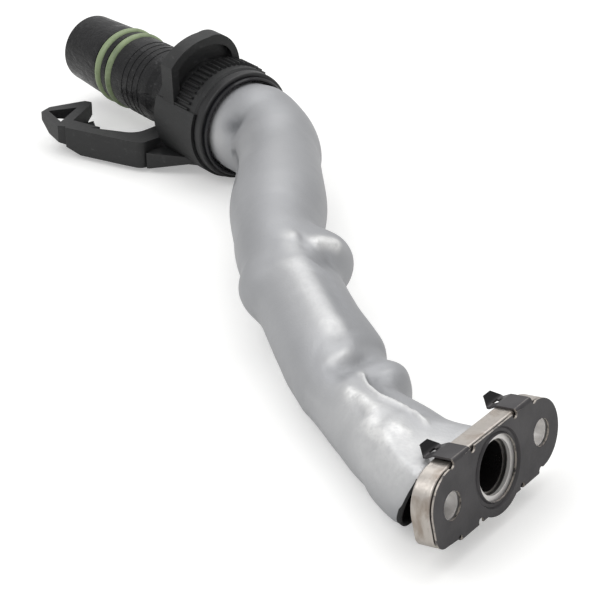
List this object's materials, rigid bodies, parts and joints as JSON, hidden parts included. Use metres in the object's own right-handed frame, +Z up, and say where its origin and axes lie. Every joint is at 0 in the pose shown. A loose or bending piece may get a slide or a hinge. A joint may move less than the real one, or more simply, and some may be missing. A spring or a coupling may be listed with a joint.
{
  "type": "turbo oil line",
  "caption": "Bent oil drain hose in a silver heat sleeve, with a bolted steel flange and clipped gasket at one end and a black latching plug with green O-rings at the other.",
  "frame": {"origin": "centre of the flange port on the sealing face of the gasket", "axes": "+Z up as the line lies on a level floor; +Y level, along the line's longest extent, from the flange towards the plug; +X level, to the side the flange looks to"},
  "size_m": [0.1464, 0.2892, 0.0444],
  "materials": {
    "flange_steel": "warm grey machined steel with handling marks",
    "gasket_sheet": "dark coated spring steel, satin",
    "stub_steel": "plain drawn tube",
    "braze": "dull braze",
    "hose_rubber": "matt",
    "clamp_steel": "darkened sheet steel",
    "sleeve_foil": "satin aluminised cloth",
    "plug_plastic": "black glass-filled plastic with scuffs",
    "collar_plastic": "black glass-filled plastic",
    "ring_plastic": "black plastic",
    "lip_rubber": "smooth, slightly glossy",
    "o_ring_rubber": "pale green, satin"
  },
  "bodies": {
    "root": {"flange": "flange_steel", "flange_gasket": "gasket_sheet", "stub_pipe": "stub_steel", "braze_fillet": "braze", "hose": "hose_rubber", "hose_clamp_pipe": "clamp_steel", "hose_clamp_plug": "clamp_steel", "heat_sleeve": "sleeve_foil", "plug_body": "plug_plastic", "lock_collar": "collar_plastic", "retaining_ring": "ring_plastic", "lip_ring": "lip_rubber", "o_ring_rear": "o_ring_rubber", "o_ring_front": "o_ring_rubber"}
  },
  "joints": []
}
